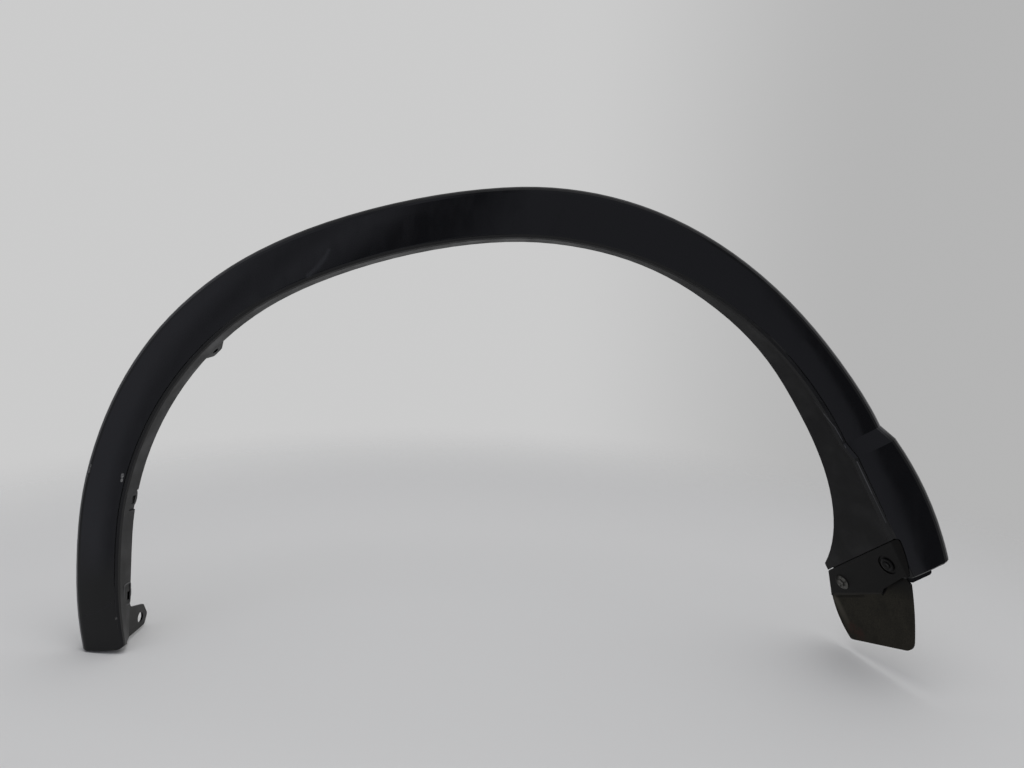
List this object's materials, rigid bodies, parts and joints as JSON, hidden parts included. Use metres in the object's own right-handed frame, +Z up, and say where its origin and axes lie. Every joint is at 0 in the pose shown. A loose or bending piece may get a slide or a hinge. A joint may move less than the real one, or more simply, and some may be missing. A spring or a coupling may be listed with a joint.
{
  "type": "wheel arch trim",
  "caption": "Black moulded car wheel arch trim: a curved channel with an inner flange, a raised block at its rear end and a small mud flap fixed under the block.",
  "frame": {"origin": "centre of the fixing hole in the tab at the front foot, in the wheel side of the flange there", "axes": "+X along the car towards its rear, +Y inboard from the outer face, +Z up"},
  "size_m": [1.0051, 0.1391, 0.5636],
  "materials": {
    "gloss_black": "gloss black face, satin dark grey flange",
    "flap_black": "matt dark grey, dusty",
    "screw_steel": "dull, dirty",
    "rivet_black": "satin black"
  },
  "bodies": {
    "root": {"arch_trim": "gloss_black", "mud_flap": "flap_black", "flap_screw": "screw_steel", "flap_rivet": "rivet_black"}
  },
  "joints": []
}
